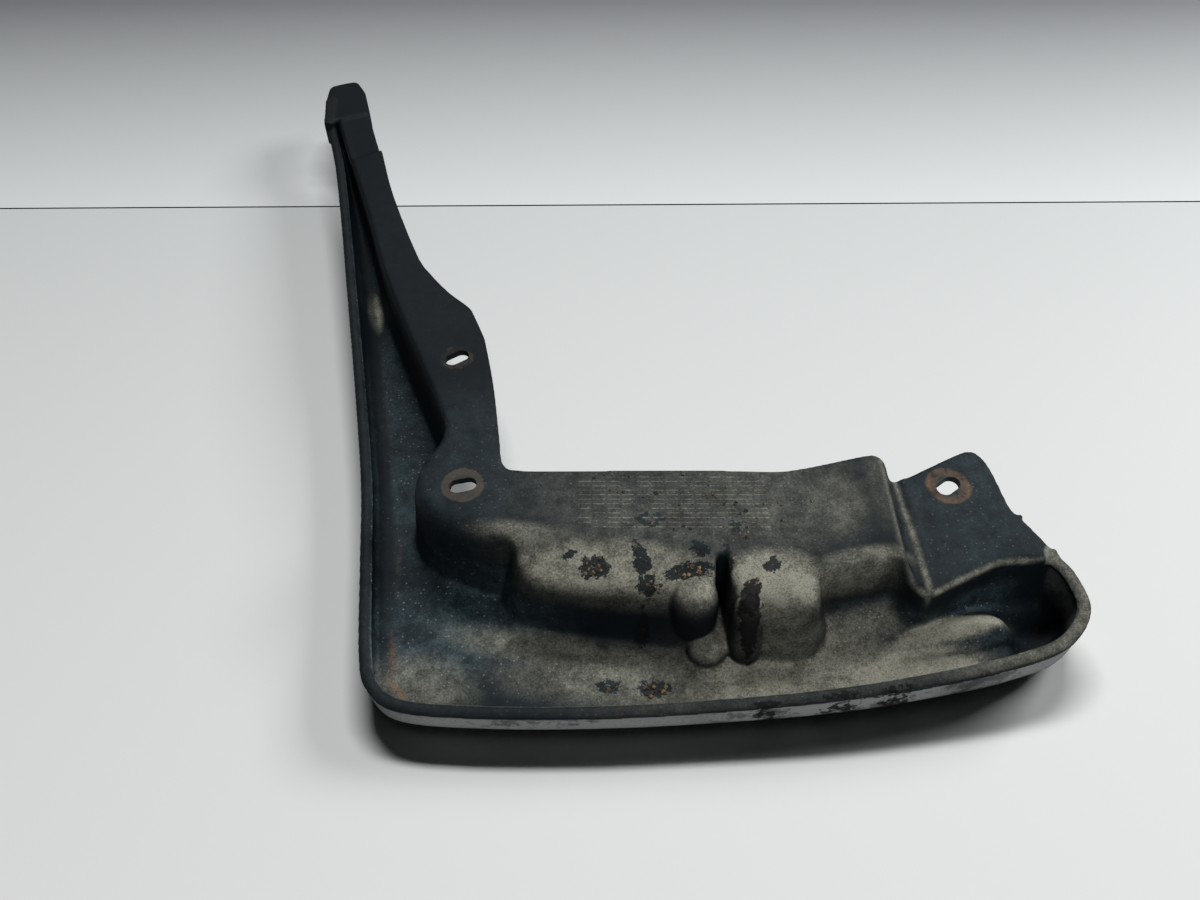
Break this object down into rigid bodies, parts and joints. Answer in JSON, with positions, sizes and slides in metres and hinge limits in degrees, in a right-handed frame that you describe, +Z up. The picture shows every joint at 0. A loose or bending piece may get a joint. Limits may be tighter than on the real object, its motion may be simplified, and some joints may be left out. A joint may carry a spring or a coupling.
{
  "type": "mud flap",
  "caption": "Moulded black plastic mud flap with a slotted mounting plate and arm, hollow stiffening blocks, a side tab and a rolled rim, lying on its outer face",
  "frame": {"origin": "middle of the part's box in plan, on the ground it lies on", "axes": "+Z up, away from the ground; X across the flap, towards the deep end; Y up the arm, towards its tip"},
  "size_m": [0.3424, 0.4026, 0.038],
  "materials": {
    "black_plastic": "matte, fine moulded grain, lightly dusted",
    "dusty_plastic": "matte, covered with dried grey-brown road dust",
    "scuffed_plastic": "matte, scuffed and bleached light grey"
  },
  "bodies": {
    "root": {"mounting_plate": "dusty_plastic", "arm_plate": "black_plastic", "arm_strip": "black_plastic", "tip_step": "black_plastic", "tip_cap": "black_plastic", "arm_wall": "black_plastic", "corner_wall": "black_plastic", "large_block_top": "dusty_plastic", "large_block_wall": "black_plastic", "block_nose": "dusty_plastic", "channel_wall": "black_plastic", "small_block_top": "dusty_plastic", "small_block_wall": "dusty_plastic", "ridge_wall": "black_plastic", "step_web": "black_plastic", "step_wall": "black_plastic", "side_tab": "black_plastic", "tab_wall": "black_plastic", "terrace": "dusty_plastic", "flap_panel": "dusty_plastic", "arm_panel": "black_plastic", "arm_margin": "black_plastic", "corner_margin": "dusty_plastic", "front_margin": "dusty_plastic", "end_margin": "black_plastic", "arm_skirt": "black_plastic", "corner_skirt": "scuffed_plastic", "front_skirt": "scuffed_plastic", "end_skirt": "scuffed_plastic", "arm_bead": "black_plastic", "corner_bead": "black_plastic", "front_bead": "black_plastic", "end_bead": "black_plastic"}
  },
  "joints": []
}
